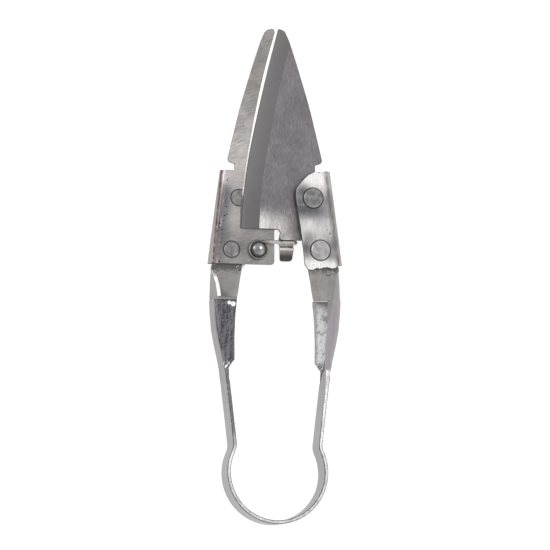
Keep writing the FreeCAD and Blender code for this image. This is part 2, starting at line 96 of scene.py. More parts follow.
class Finish:
    """A Principled material whose colour, roughness and bump are built from textures.

    Left-hand pieces are right-hand ones turned half a turn about Y, so their surface
    coordinates are turned back and one recipe serves both sides.  Recipes work in
    millimetres, with Z = 0 at the shear plane.
    """

    def __init__(self, name, side="right", metallic=1.0, roughness=0.4):
        self.material = bpy.data.materials.new(name)
        self.material.use_nodes = True
        self.tree = self.material.node_tree
        self.shader = self.tree.nodes["Principled BSDF"]
        self.shader.inputs["Metallic"].default_value = metallic
        self.shader.inputs["Roughness"].default_value = roughness
        turned = self.node("Mapping")
        flip = float(sign_of(side))
        turned.inputs["Location"].default_value = (0, 0, -flip * SHEAR_Z)
        turned.inputs["Scale"].default_value = (flip / MM, 1 / MM, flip / MM)
        surface = self.node("TexCoord").outputs["Object"]
        self.put(turned.inputs["Vector"], surface)
        self.place = turned.outputs["Vector"]
        self.normal = None

    def node(self, kind):
        return self.tree.nodes.new("ShaderNode" + kind)

    def put(self, socket, value):
        """Link a socket to a node's output, or set it to a plain value."""
        if isinstance(value, bpy.types.NodeSocket):
            self.tree.links.new(value, socket)
        elif isinstance(value, (tuple, list)) and len(value) == 3 and socket.type == "RGBA":
            socket.default_value = (*value, 1.0)
        else:
            socket.default_value = value

    def scaled(self, stretch, turn=0.0):
        """The surface's own coordinates in millimetres, turned about Z, then stretched."""
        turned = self.node("Mapping")
        turned.inputs["Rotation"].default_value = (0, 0, math.radians(turn))
        self.put(turned.inputs["Vector"], self.place)
        mapping = self.node("Mapping")
        mapping.inputs["Scale"].default_value = [1.0 / length for length in stretch]
        self.put(mapping.inputs["Vector"], turned.outputs["Vector"])
        return mapping.outputs["Vector"]

    def noise(self, stretch, detail, turn=0.0, rough=0.6):
        """Smooth noise whose features are about stretch millimetres along X, Y and Z."""
        texture = self.node("TexNoise")
        texture.inputs["Scale"].default_value = 1.0
        texture.inputs["Detail"].default_value = detail
        texture.inputs["Roughness"].default_value = rough
        self.put(texture.inputs["Vector"], self.scaled(stretch, turn))
        return texture.outputs["Fac"]

    def math(self, operation, first, second):
        """The result of a Math node."""
        node = self.node("Math")
        node.operation = operation
        self.put(node.inputs[0], first)
        self.put(node.inputs[1], second)
        return node.outputs[0]

    def plus(self, first, second):
        return self.math("ADD", first, second)

    def minus(self, first, second):
        return self.math("SUBTRACT", first, second)

    def times(self, first, second):
        return self.math("MULTIPLY", first, second)

    def apart(self, first, second):
        """How far apart two values are."""
        return self.math("ABSOLUTE", self.minus(first, second), 0.0)

    def most(self, values):
        """The greatest of several values."""
        total = values[0]
        for value in values[1:]:
            total = self.math("MAXIMUM", total, value)
        return total

    def ramp(self, value, low, high, out_low=0.0, out_high=1.0):
        """value from low..high spread smoothly over out_low..out_high."""
        node = self.node("MapRange")
        node.interpolation_type = "SMOOTHSTEP"
        set_range(node, low, high, out_low, out_high)
        self.put(node.inputs["Value"], value)
        return node.outputs["Result"]

    def vary(self, texture, least=0.0, most=1.0):
        """Noise, which mostly lies between 0.3 and 0.7, spread over least..most."""
        return self.ramp(texture, 0.3, 0.7, least, most)

    def mix(self, share, first, second):
        """The first colour, with this share of the second."""
        node = self.node("Mix")
        node.data_type = "RGBA"
        # the sockets of the colour kind of this node: share, A, B and the result
        self.put(node.inputs[0], share)
        self.put(node.inputs[6], first)
        self.put(node.inputs[7], second)
        return node.outputs[2]

    def shade(self, colour, factor):
        """The colour made brighter or darker by a factor."""
        node = self.node("VectorMath")
        node.operation = "SCALE"
        self.put(node.inputs[0], colour)
        self.put(node.inputs["Scale"], factor)
        return node.outputs["Vector"]

    def axis(self, name):
        """One coordinate of the surface, in millimetres."""
        node = self.node("SeparateXYZ")
        self.put(node.inputs[0], self.place)
        return node.outputs[name]

    def past_line(self, lean, foot):
        """How far a point lies outside a line that starts at X = foot and leans in upwards."""
        leant = self.times(self.axis("Y"), lean)
        return self.minus(self.plus(self.axis("X"), leant), foot)

    def away(self, across, along):
        """Distance from a point of the flat surface, in millimetres."""
        flat = self.node("Mapping")
        flat.inputs["Scale"].default_value = (1, 1, 0)
        self.put(flat.inputs["Vector"], self.place)
        node = self.node("VectorMath")
        node.operation = "DISTANCE"
        self.put(node.inputs[0], flat.outputs["Vector"])
        node.inputs[1].default_value = (across, along, 0)
        return node.outputs["Value"]

    def spot(self, across, along, radius, strength):
        """A soft round spot."""
        return self.ramp(self.away(across, along), 0.0, radius, strength, 0.0)

    def spots(self, places):
        """Soft spots of (across, along, radius, strength), the strongest where they meet."""
        return self.most([self.spot(*place) for place in places])

    def ring(self, across, along, radius, width):
        """A thin ring, 1 on its line."""
        return self.ramp(self.apart(self.away(across, along), radius), width * 0.5, width, 1.0, 0.0)

    def rivet_rings(self, radius, width):
        """A thin ring round each rivet, a little short of full strength."""
        rings = [self.ring(across, along, radius, width) for _, across, along in RIVETS]
        return self.times(self.most(rings), 0.9)

    def pits(self, places):
        """Small pits of (across, along, radius), 1 in their middle."""
        return self.most([self.ramp(self.away(across, along), radius * 0.6, radius, 1.0, 0.0)
                          for across, along, radius in places])

    def bump(self, height, depth_mm, strength):
        """Relief on top of any set before."""
        node = self.node("Bump")
        node.inputs["Distance"].default_value = depth_mm * MM
        node.inputs["Strength"].default_value = strength
        self.put(node.inputs["Height"], height)
        if self.normal is not None:
            self.put(node.inputs["Normal"], self.normal)
        self.normal = node.outputs["Normal"]

    def done(self, colour=None, roughness=None):
        """The material, with what was built for its colour and roughness."""
        if colour is not None:
            self.put(self.shader.inputs["Base Color"], colour)
        if roughness is not None:
            self.put(self.shader.inputs["Roughness"], roughness)
        if self.normal is not None:
            self.put(self.shader.inputs["Normal"], self.normal)
        return self.material


# ---------------- materials

def past_edge(finish):
    """How far a point of the blade lies from its cutting edge, by a cubic close to CUTTING_EDGE."""
    along = finish.times(finish.minus(finish.axis("Y"), 40.0), 0.1)
    edge = finish.plus(finish.times(along, EDGE_CUBIC[0]), EDGE_CUBIC[1])
    for factor in EDGE_CUBIC[2:]:
        edge = finish.plus(finish.times(edge, along), factor)
    return finish.minus(finish.axis("X"), edge)


def brushed_blade(side):
    """Outer face of a blade: fine brushing along the blade, a painted light patch and painted highlights
    near its foot.
    """
    finish = Finish(side + "_blade_outer", side)
    brush = finish.noise((0.2, 2.2, 0.5), 5.0, rough=0.75)
    mottle = finish.noise((0.6, 1.2, 1.0), 4.0, rough=0.75)
    cloud = finish.noise((6.0, 9.0, 5.0), 2.0)
    grey = finish.mix(finish.ramp(cloud, 0.35, 0.65), (0.190, 0.181, 0.190), (0.225, 0.214, 0.223))
    # painted light: the face grows paler towards its foot, with painted highlights on it
    ragged = finish.minus(finish.axis("Y"), finish.vary(brush, -2.0, 2.0))
    foot = finish.ramp(ragged, 19.0, 11.5, 0.0, 0.7)
    grey = finish.mix(foot, grey, (0.36, 0.335, 0.33))
    gleam = finish.spots([(-3.6, 12.6, 5.2, 0.85), (0.2, 12.2, 4.6, 0.55), (3.2, 8.8, 2.6, 0.45)])
    grey = finish.mix(gleam, grey, (0.80, 0.765, 0.75))
    corner = finish.spots([(5.8, 12.0, 3.2, 0.8), (5.0, 9.2, 2.4, 0.6)])
    grey = finish.mix(corner, grey, (0.17, 0.15, 0.148))
    grey = finish.shade(grey, finish.vary(brush, 0.80, 1.22))
    grey = finish.shade(grey, finish.vary(mottle, 0.86, 1.14))
    pits = finish.pits([(-2.9, 28.9, 0.22), (3.1, 33.6, 0.13)])
    colour = finish.mix(pits, grey, (0.05, 0.045, 0.05))
    finish.bump(brush, 0.008, 0.6)
    return finish.done(colour, finish.vary(brush, 0.36, 0.46))


def shear_face(side):
    """Flat shear face: grinding scratches across it, pits, a reddish tarnish line along the fold, and
    painted light and shade along the fold and over the face.
    """
    finish = Finish(side + "_blade_shear_face", side)
    fine = finish.noise((3.2, 0.2, 0.5), 4.0, turn=17.0, rough=0.72)
    coarse = finish.noise((5.5, 0.5, 0.5), 3.0, turn=20.0, rough=0.6)
    cloud = finish.noise((3.2, 4.5, 5.0), 3.0)
    along = finish.axis("Y")
    # painted light: darker at the tip, brightest just above the socket, darker again inside it
    level = finish.minus(finish.ramp(along, 50.0, 30.0, 0.29, 0.46),
                         finish.ramp(along, 28.5, 21.0, 0.0, 0.10))
    level = finish.minus(level, finish.ramp(along, 20.0, 10.0, 0.0, 0.07))
    grey = finish.mix(level, (0.0, 0.0, 0.0), (1.04, 0.985, 0.965))
    grey = finish.shade(grey, finish.vary(cloud, 0.86, 1.14))
    marks = finish.ramp(along, 24.0, 31.0, 0.3, 1.0)
    lines = finish.times(finish.ramp(coarse, 0.56, 0.68, 0.0, 0.5), marks)
    grey = finish.mix(lines, grey, (0.21, 0.195, 0.19))
    grey = finish.shade(grey, finish.vary(fine, 0.78, 1.24))
    # painted blue-grey shade runs along the inside of the fold, with patches beside the lower rivet
    line = finish.past_line(0.1, 16.25)
    fold_shade = finish.times(finish.ramp(line, -4.6, -1.1, 0.0, 0.78), finish.ramp(along, 24.5, 20.5))
    fold_shade = finish.times(fold_shade, finish.ramp(cloud, 0.32, 0.58, 0.55, 1.1))
    fold_shade = finish.times(fold_shade, finish.ramp(along, 3.0, 10.0, 0.5, 1.0))
    fold_shade = finish.most([fold_shade, finish.spots([(7.8, 7.0, 3.4, 0.4), (6.2, 6.6, 2.6, 0.45)])])
    grey = finish.mix(fold_shade, grey, (0.10, 0.10, 0.115))
    # painted highlights
    shine = finish.spots([(10.4, 24.8, 4.2, 0.45), (9.9, 14.0, 4.6, 0.4)])
    grey = finish.mix(shine, grey, (0.60, 0.56, 0.548))
    rim = finish.ramp(along, 2.4, 1.35, 0.0, 0.5)
    grey = finish.mix(rim, grey, (0.12, 0.11, 0.11))
    grey = finish.mix(finish.rivet_rings(2.12, 0.2), grey, (0.05, 0.045, 0.045))
    # where the sheet turns into the fold: a painted highlight streak on the bend, painted shade on the
    # turned part beyond it, and a reddish tarnish line
    streak = finish.ramp(finish.apart(line, -1.0), 0.05, 0.45, 0.6, 0.0)
    streak = finish.times(streak, finish.ramp(cloud, 0.42, 0.58))
    grey = finish.mix(streak, grey, (0.58, 0.54, 0.53))
    beyond = finish.ramp(line, -0.5, 0.1, 0.0, 0.9)
    grey = finish.mix(beyond, grey, (0.235, 0.205, 0.20))
    outer = finish.ramp(line, 0.2, 0.55, 0.0, 0.9)
    grey = finish.mix(outer, grey, (0.34, 0.32, 0.315))
    broken = finish.ramp(finish.noise((0.5, 1.3, 0.6), 4.0, rough=0.7), 0.38, 0.54, 0.2, 1.0)
    band = finish.ramp(finish.apart(line, 0.08), 0.08, 0.34, 0.95, 0.0)
    colour = finish.mix(finish.times(band, broken), grey, (0.11, 0.045, 0.035))
    pits = finish.pits([
        (14.3, 12.9, 0.29), (13.0, 14.9, 0.26), (13.7, 11.3, 0.25), (12.6, 17.2, 0.21),
        (12.4, 15.2, 0.18), (14.1, 8.1, 0.22), (14.4, 3.2, 0.28), (14.9, 10.9, 0.19),
        (14.5, 1.9, 0.30), (12.3, 24.0, 0.20), (13.2, 13.6, 0.18), (12.9, 22.6, 0.16),
        (8.1, 37.9, 0.18), (13.6, 10.2, 0.20), (14.2, 11.9, 0.18)])
    colour = finish.mix(pits, colour, (0.04, 0.02, 0.02))
    finish.bump(fine, 0.014, 0.6)
    return finish.done(colour, finish.vary(fine, 0.34, 0.46))


def flap_steel(side):
    """Folded flap: bright sheet, dented round the rivet heads, with painted blue-grey shade and painted
    highlights on it.
    """
    finish = Finish(side + "_flap", side)
    drag = finish.noise((0.26, 2.6, 0.5), 4.0, turn=7.0, rough=0.72)
    dull = finish.noise((0.5, 0.7, 0.6), 3.0)
    cloud = finish.noise((2.8, 3.6, 3.0), 2.0)
    along = finish.axis("Y")
    grey = finish.mix(finish.vary(cloud), (0.43, 0.413, 0.412), (0.60, 0.583, 0.583))
    ends = finish.most([finish.ramp(along, 20.5, 24.0, 0.0, 0.95), finish.ramp(along, 5.0, 2.8, 0.0, 0.9)])
    grey = finish.mix(ends, grey, (0.93, 0.905, 0.895))
    # painted highlights
    gleam = finish.spots([(8.2, 12.2, 3.4, 0.6), (11.6, 11.4, 2.6, 0.4)])
    grey = finish.mix(gleam, grey, (0.80, 0.78, 0.78))
    # painted shade: a broad shadow below the upper rivet, and darker blue-grey patches round both heads
    below = finish.times(finish.ramp(along, 19.0, 17.2), finish.ramp(along, 13.2, 16.4))
    below = finish.times(below, finish.ramp(finish.axis("X"), 14.6, 9.5, 0.3, 0.92))
    spots = finish.spots([
        (6.5, 21.2, 3.8, 0.9), (6.0, 18.6, 3.6, 0.85), (12.9, 18.6, 3.6, 0.55), (7.4, 6.8, 3.4, 0.92),
        (8.3, 9.2, 2.8, 0.45), (14.2, 7.6, 3.0, 0.7), (13.8, 5.0, 2.4, 0.5)])
    rivet_shade = finish.times(finish.most([below, spots]), finish.ramp(cloud, 0.3, 0.6, 0.88, 1.0))
    grey = finish.mix(rivet_shade, grey, (0.10, 0.10, 0.113))
    grey = finish.shade(grey, finish.vary(drag, 0.87, 1.11))
    speck = finish.times(finish.ramp(dull, 0.58, 0.68, 0.0, 0.5), finish.ramp(along, 6.0, 3.0))
    grey = finish.mix(speck, grey, (0.30, 0.28, 0.28))
    # a dark ring round each head: the joint, darkened further as painted contact shadow
    grey = finish.mix(finish.rivet_rings(2.62, 0.22), grey, (0.05, 0.048, 0.048))
    # painted shade where the sheet starts to turn into the fold, and on the turned part beyond
    turn = finish.past_line(0.136, 16.1)
    shade = finish.times(finish.ramp(turn, -1.0, 0.1), finish.ramp(turn, 1.0, 0.4))
    uneven = finish.vary(finish.noise((0.5, 2.4, 0.6), 3.0), 0.5, 0.95)
    colour = finish.mix(finish.times(shade, uneven), grey, (0.16, 0.148, 0.15))
    colour = finish.mix(finish.ramp(turn, 0.4, 1.0, 0.0, 0.85), colour, (0.28, 0.265, 0.262))
    pits = finish.pits([(13.7, 10.6, 0.24), (13.0, 11.6, 0.14), (12.1, 1.9, 0.2), (12.6, 12.6, 0.1),
                        (9.4, 2.5, 0.13)])
    colour = finish.mix(pits, colour, (0.05, 0.045, 0.05))
    finish.bump(drag, 0.014, 0.6)
    finish.bump(dull, 0.016, 0.6)
    return finish.done(colour, finish.vary(dull, 0.28, 0.42))


def bevel_steel(side):
    """Ground bevel: a smooth even dark grey with the faintest lines, darker at its foot."""
    finish = Finish(side + "_blade_bevel", side)
    lines = finish.noise((0.4, 6.0, 0.5), 3.0, turn=14.0)
    colour = finish.mix(finish.vary(lines), (0.165, 0.159, 0.162), (0.171, 0.164, 0.168))
    low = finish.ramp(finish.axis("Y"), 30.0, 14.0, 1.0, 0.86)
    finish.bump(lines, 0.001, 0.3)
    return finish.done(finish.shade(colour, low), finish.vary(lines, 0.42, 0.44))


def honed_steel(side):
    """The honed strip that does the cutting: it narrows towards the foot, with a dark line beside it."""
    finish = Finish(side + "_blade_honed", side)
    lines = finish.noise((0.5, 0.35, 0.5), 3.0)
    along = finish.axis("Y")
    width = finish.ramp(along, 22.0, 46.0, 0.27, 0.66)
    bright = finish.mix(finish.ramp(along, 24.0, 42.0), (0.60, 0.56, 0.545), (0.84, 0.79, 0.77))
    bright = finish.shade(bright, finish.vary(lines, 0.88, 1.08))
    bright = finish.mix(finish.ramp(along, 21.5, 19.0), bright, (0.13, 0.12, 0.12))
    over = finish.minus(past_edge(finish), width)
    colour = finish.mix(finish.ramp(over, -0.06, 0.06), bright, (0.075, 0.068, 0.068))
    colour = finish.mix(finish.ramp(over, 0.10, 0.26), colour, (0.160, 0.154, 0.157))
    finish.bump(lines, 0.003, 0.4)
    return finish.done(colour, finish.vary(lines, 0.42, 0.5))


def plate_edge_steel(side):
    """Blanked edges of the sheet: dull and dark, with faint drag marks across the thickness."""
    finish = Finish(side + "_plate_edge", side)
    drag = finish.noise((0.3, 0.3, 1.4), 3.0)
    colour = finish.mix(finish.vary(drag), (0.115, 0.108, 0.108), (0.22, 0.21, 0.208))
    finish.bump(drag, 0.01, 0.6)
    return finish.done(colour, finish.vary(drag, 0.42, 0.55))


def tab_steel(side):
    """The cranked tab under the catch: a painted highlight along its bend, painted shade darkening it
    towards its end.
    """
    finish = Finish(side + "_tab", side)
    brush = finish.noise((0.2, 1.6, 0.5), 4.0)
    along = finish.axis("Y")
    # painted light: pale above the bend with a painted highlight on it, painted shade below that darkens
    # towards its end
    grey = finish.mix(finish.ramp(along, 7.0, 5.9), (0.80, 0.765, 0.75), (0.24, 0.222, 0.215))
    grey = finish.mix(finish.ramp(along, 6.0, 4.6), grey, (0.075, 0.066, 0.064))
    grey = finish.mix(finish.ramp(along, 7.05, 7.4, 0.0, 0.85), grey, (0.85, 0.82, 0.80))
    colour = finish.shade(grey, finish.vary(brush, 0.85, 1.15))
    finish.bump(brush, 0.006, 0.5)
    return finish.done(colour, finish.vary(brush, 0.34, 0.44))


def strip_steel(side):
    """Faces of the handle strip: tumbled satin steel with a few specks."""
    finish = Finish(side + "_strip", side)
    satin = finish.noise((0.7, 1.6, 0.9), 4.0)
    cloud = finish.noise((2.6, 4.0, 3.0), 3.0)
    grain = finish.noise((0.2, 0.24, 0.2), 2.0)
    grey = finish.mix(finish.vary(cloud), (0.262, 0.249, 0.246), (0.325, 0.309, 0.306))
    # the web outside a slanting crease is a shade paler, and painted shade darkens the crease itself
    slant = finish.minus(finish.axis("X"), finish.times(finish.axis("Y"), 0.205))
    crease_at = 15.35
    grey = finish.mix(finish.ramp(slant, crease_at, 15.7, 0.0, 0.85), grey, (0.345, 0.328, 0.350))
    crease = finish.ramp(finish.apart(slant, crease_at), 0.04, 0.22, 0.45, 0.0)
    grey = finish.mix(crease, grey, (0.17, 0.16, 0.165))
    grey = finish.mix(finish.ramp(satin, 0.35, 0.75, 0.0, 0.3), grey, (0.44, 0.42, 0.41))
    # a ragged dark edge with glints in it, where the blade's foot shades the strip
    ragged = finish.noise((0.8, 0.5, 0.8), 4.0, turn=10.0, rough=0.7)
    under = finish.plus(finish.axis("Y"), finish.vary(ragged, -1.1, 1.1))
    grey = finish.mix(finish.ramp(under, 0.2, 1.6, 0.0, 0.8), grey, (0.085, 0.076, 0.075))
    glints = finish.times(finish.ramp(ragged, 0.60, 0.66, 0.0, 0.8), finish.ramp(under, 0.6, 1.4))
    grey = finish.mix(glints, grey, (0.66, 0.62, 0.61))
    if side == "right":
        # painted shade of a half-moon dent beside the fold
        dent_shade = finish.times(finish.ring(13.4, 0.5, 0.5, 0.2), finish.ramp(finish.axis("Y"), 0.5, 0.2))
        grey = finish.mix(dent_shade, grey, (0.13, 0.12, 0.12))
    colour = finish.mix(finish.ramp(grain, 0.68, 0.76, 0.0, 0.6), grey, (0.12, 0.11, 0.11))
    finish.bump(cloud, 0.05, 0.5)
    finish.bump(grain, 0.004, 0.5)
    return finish.done(colour, finish.vary(satin, 0.30, 0.40))


def strip_side_steel(side):
    """Broad outer and inner sides of the strip: even satin, drawn lengthwise, paler round the bow."""
    finish = Finish(side + "_strip_side", side)
    drawn = finish.noise((0.5, 4.0, 0.35), 3.0)
    cloud = finish.noise((2.6, 5.0, 2.6), 3.0)
    grey = finish.mix(finish.vary(cloud), (0.235, 0.226, 0.226), (0.275, 0.264, 0.262))
    grey = finish.mix(finish.ramp(finish.axis("Y"), -24.0, -40.0), grey, (0.30, 0.298, 0.302))
    colour = finish.shade(grey, finish.vary(drawn, 0.90, 1.10))
    finish.bump(cloud, 0.05, 0.5)
    return finish.done(colour, finish.vary(drawn, 0.32, 0.42))


def cut_edge_steel(side):
    """Sheared edges of the strip: bright and speckled dark, scaled on the rear one up the leg."""
    finish = Finish(side + "_cut_edge", side)
    grain = finish.noise((0.34, 0.5, 0.34), 3.0, rough=0.75)
    drag = finish.noise((0.5, 3.4, 0.5), 3.0)
    rear = finish.ramp(finish.axis("Z"), 0.5, -0.5)
    high = finish.ramp(finish.axis("Y"), -46.0, -38.0)
    scaled = finish.times(finish.times(rear, high), 0.9)
    grey = finish.mix(finish.ramp(drag, 0.35, 0.65), (0.66, 0.65, 0.65), (0.96, 0.95, 0.95))
    grey = finish.shade(grey, finish.ramp(finish.axis("Y"), -44.0, -52.0, 1.0, 0.85))
    scale = finish.mix(finish.ramp(grain, 0.42, 0.60), (0.05, 0.048, 0.052), (0.20, 0.195, 0.20))
    grey = finish.mix(finish.ramp(grain, 0.52, 0.62, 0.0, 0.55), grey, (0.17, 0.16, 0.165))
    colour = finish.mix(scaled, grey, scale)
    finish.bump(grain, 0.03, 0.8)
    return finish.done(colour, finish.vary(grain, 0.34, 0.5))


def corner_steel(side):
    """Worn corners along the cut edges: dark with a few bright rubs."""
    finish = Finish(side + "_worn_corner", side)
    rub = finish.noise((0.4, 0.7, 0.4), 3.0, rough=0.7)
    colour = finish.mix(finish.ramp(rub, 0.48, 0.64), (0.075, 0.070, 0.075), (0.34, 0.33, 0.335))
    finish.bump(rub, 0.01, 0.6)
    return finish.done(colour, finish.vary(rub, 0.40, 0.52))


def web_end_highlight_steel(side):
    """Sheared end of the web beside the shoulder: smooth, painted near white as a highlight."""
    finish = Finish(side + "_highlit_web_end", side)
    drag = finish.noise((0.6, 2.6, 0.6), 3.0)
    colour = finish.mix(finish.ramp(drag, 0.35, 0.65), (0.93, 0.92, 0.91), (1.0, 0.99, 0.985))
    finish.bump(drag, 0.01, 0.4)
    return finish.done(colour, finish.vary(drag, 0.4, 0.5))


def flange_outside(side):
    """Outer face of the wide flange: dark and coarse, under a first stretch like the strip's."""
    finish = Finish(side + "_flange_outer", side)
    grain = finish.noise((0.34, 0.5, 0.35), 4.0, rough=0.8)
    streak = finish.noise((0.9, 5.0, 0.9), 3.0)
    grey = finish.mix(finish.ramp(streak, 0.36, 0.62), (0.045, 0.045, 0.052), (0.15, 0.148, 0.16))
    grey = finish.mix(finish.ramp(grain, 0.46, 0.64, 0.0, 0.7), grey, (0.27, 0.265, 0.275))
    glint = finish.spots([(11.6, -7.9, 1.1, 1.0), (12.6, -7.6, 0.9, 0.8)])
    glint = finish.times(finish.ramp(glint, 0.25, 0.5), finish.ramp(grain, 0.34, 0.5))
    grey = finish.mix(glint, grey, (0.99, 0.98, 0.98))
    # painted highlights in streaks at its foot
    fold = finish.noise((0.35, 1.4, 0.5), 2.0, turn=-40.0)
    foot = finish.times(finish.ramp(fold, 0.50, 0.56), finish.ramp(finish.axis("Y"), -21.6, -23.2))
    grey = finish.mix(foot, grey, (0.85, 0.84, 0.84))
    # a painted shadow line across it, and the strip's colour above the line
    line = finish.plus(finish.axis("Y"), finish.vary(grain, -0.1, 0.1))
    grey = finish.mix(finish.ramp(line, -7.2, -6.95, 0.0, 0.9), grey, (0.05, 0.048, 0.05))
    colour = finish.mix(finish.ramp(line, -6.9, -6.75), grey, (0.27, 0.257, 0.254))
    finish.bump(streak, 0.06, 0.6)
    finish.bump(grain, 0.05, 0.8)
    return finish.done(colour, finish.vary(grain, 0.36, 0.52))


def flange_inside(side):
    """Inner face of the wide flange: scoured bright, so it scatters light, with painted shade at its ends
    and painted light and shade in crumpled streaks.
    """
    finish = Finish(side + "_flange_inner", side, metallic=0.15)
    grain = finish.noise((0.35, 0.5, 0.4), 4.0, rough=0.75)
    crumple = finish.noise((1.0, 1.9, 1.0), 3.0, turn=35.0)
    grey = finish.mix(finish.ramp(crumple, 0.36, 0.50), (0.50, 0.49, 0.50), (1.0, 0.995, 1.0))
    grey = finish.mix(finish.ramp(grain, 0.52, 0.66, 0.0, 0.6), grey, (0.34, 0.33, 0.34))
    # painted shade at both ends of the recess and along the lip's free edge
    ends = finish.most([finish.ramp(finish.axis("Y"), -8.2, -6.4, 0.0, 0.7),
                        finish.ramp(finish.axis("Y"), -20.5, -24.0, 0.0, 0.9),
                        finish.ramp(finish.axis("X"), 12.1, 11.3, 0.0, 0.6)])
    grey = finish.mix(ends, grey, (0.20, 0.195, 0.20))
    # painted light and shade in crumpled streaks at its foot
    fold = finish.noise((0.35, 1.4, 0.5), 2.0, turn=40.0)
    streaks = finish.mix(finish.ramp(fold, 0.46, 0.54), (0.07, 0.068, 0.07), (0.98, 0.97, 0.97))
    grey = finish.mix(finish.ramp(finish.axis("Y"), -21.6, -23.2), grey, streaks)
    finish.bump(crumple, 0.08, 0.5)
    finish.bump(grain, 0.02, 0.6)
    return finish.done(grey, finish.vary(grain, 0.50, 0.62))


def rivet_steel(name, dark, pale):
    """Peened rivet head: overlapping hammer marks, mottled, between two greys."""
    finish = Finish(name)
    blows = finish.noise((1.2, 1.2, 1.2), 3.0)
    grain = finish.noise((0.3, 0.3, 0.3), 3.0)
    low = (dark, 0.985 * dark, dark)
    high = (pale, 0.98 * pale, 0.98 * pale)
    grey = finish.mix(finish.ramp(blows, 0.36, 0.64), low, high)
    # painted highlights on the tops of some hammer blows
    grey = finish.mix(finish.ramp(blows, 0.68, 0.76, 0.0, 0.5), grey, (0.75, 0.74, 0.73))
    colour = finish.mix(finish.ramp(grain, 0.56, 0.70, 0.0, 0.2), grey, (0.10, 0.095, 0.10))
    finish.bump(blows, 0.05, 0.7)
    finish.bump(grain, 0.015, 0.6)
    return finish.done(colour, finish.vary(grain, 0.30, 0.42))


def polished_steel():
    """Turned and polished stud, with painted reflections: dark round the rim of its dome and on one side,
    a painted highlight on one shoulder.
    """
    finish = Finish("stud_polished")
    haze = finish.noise((0.5, 0.5, 0.5), 3.0)
    away = finish.away(*STUD)
    # painted reflection: the dome darkens towards its rim
    grey = finish.mix(finish.ramp(away, 0.9, 1.9), (0.30, 0.295, 0.295), (0.045, 0.042, 0.042))
    across, along = STUD
    # painted shade on one side of the dome
    grey = finish.mix(finish.spot(across - 0.5, along - 0.3, 1.2, 0.5), grey, (0.13, 0.125, 0.125))
    # a painted highlight on one shoulder of the dome
    gleam = finish.spot(across + 0.45, along + 0.35, 0.75, 1.0)
    grey = finish.mix(finish.ramp(gleam, 0.25, 0.7), grey, (1.0, 1.0, 1.0))
    colour = finish.shade(grey, finish.vary(haze, 0.9, 1.1))
    finish.bump(haze, 0.006, 0.5)
    return finish.done(colour, finish.vary(haze, 0.20, 0.28))


def drawn_steel():
    """Drawn spring wire: fine lines along it and a slight warm tarnish."""
    finish = Finish("wire_drawn")
    lines = finish.noise((2.4, 0.2, 0.2), 3.0)
    stain = finish.noise((1.3, 1.0, 1.0), 3.0)
    grey = finish.mix(finish.ramp(lines, 0.35, 0.65), (0.36, 0.34, 0.33), (0.62, 0.60, 0.59))
    grey = finish.mix(finish.ramp(stain, 0.5, 0.7, 0.0, 0.6), grey, (0.14, 0.12, 0.11))
    # painted shade: the eye round the stud, under the stud's dome, is darker than the straight arm
    eye = finish.ramp(finish.away(*STUD), 2.6, 3.6, 0.75, 0.0)
    colour = finish.mix(eye, grey, (0.13, 0.115, 0.108))
    finish.bump(lines, 0.006, 0.6)
    return finish.done(colour, finish.vary(lines, 0.28, 0.38))


# ---------------- mesh helpers

SAME_POINT = 1e-4                    # points of the CAD mesh nearer than this are one
SAME_PLANE = math.radians(0.4)
SHARP = math.radians(35)             # edges at least this sharp are rounded
SHADED_SHARP = math.radians(38)      # edges at least this sharp are shaded as sharp
UPRIGHT = 0.6                        # a face whose normal has less Z than this is an edge


def cad_copy(*names):
    """A welded mesh of these CAD nodes, with flat areas joined into single faces."""
    mesh = bmesh.new()
    for name in names:
        mesh.from_mesh(nodes[name].data)
    bmesh.ops.remove_doubles(mesh, verts=mesh.verts, dist=SAME_POINT * MM)
    bmesh.ops.dissolve_limit(mesh, angle_limit=SAME_PLANE, verts=mesh.verts, edges=mesh.edges)
    return mesh


def soften(mesh, width_mm, wanted):
    """Round the sharp edges whose middle is wanted, leaving out any in a tight corner."""
    chosen = set()
    for edge in mesh.edges:
        if len(edge.link_faces) != 2 or edge.calc_face_angle(0.0) < SHARP:
            continue
        if wanted((edge.verts[0].co + edge.verts[1].co) / 2 / MM):
            chosen.add(edge)
    room = 1.25 * width_mm * MM
    furthest = 0.8 * width_mm * MM

    def cramped(edge):
        for vert in edge.verts:
            for other in vert.link_edges:
                if other not in chosen and other.calc_length() < room:
                    return True
        return False

    roomy = [edge for edge in mesh.edges if edge in chosen and not cramped(edge)]
    before = BVHTree.FromBMesh(mesh)
    bmesh.ops.bevel(mesh, geom=roomy, offset=width_mm * MM, segments=2, profile=0.5,
                    affect="EDGES", clamp_overlap=False)
    # a point thrown out of a cramped corner goes back onto the surface it left
    for vert in mesh.verts:
        nearest, _, _, distance = before.find_nearest(vert.co)
        if distance > furthest:
            vert.co = nearest


def cut(mesh, point, normal, clear_outer=False):
    """Cut every face along a plane, and drop what lies beyond it if asked."""
    bmesh.ops.bisect_plane(mesh, geom=mesh.verts[:] + mesh.edges[:] + mesh.faces[:], dist=1e-8,
                           plane_co=point, plane_no=normal, clear_outer=clear_outer)


def slice_up(mesh, axis, positions_mm):
    """Cut the faces along planes across one axis, so the surface has points to move."""
    normal = Vector((0, 0, 0))
    normal[axis] = 1
    for position in positions_mm:
        cut(mesh, normal * position * MM, normal)


def spread(low, high, step):
    """The middles of the steps from low to high."""
    count = int((high - low) / step)
    return [low + step * (index + 0.5) for index in range(count)]


def share_of(value, low, high):
    """0 below low, 1 above high and even between them."""
    return min(1.0, max(0.0, (value - low) / (high - low)))


def lumps(mesh, depth):
    """Move the surface in and out by depth(point in mm), in millimetres."""
    mesh.normal_update()
    moves = [vert.normal * depth(vert.co / MM) * MM for vert in mesh.verts]
    for vert, move in zip(mesh.verts, moves):
        vert.co += move


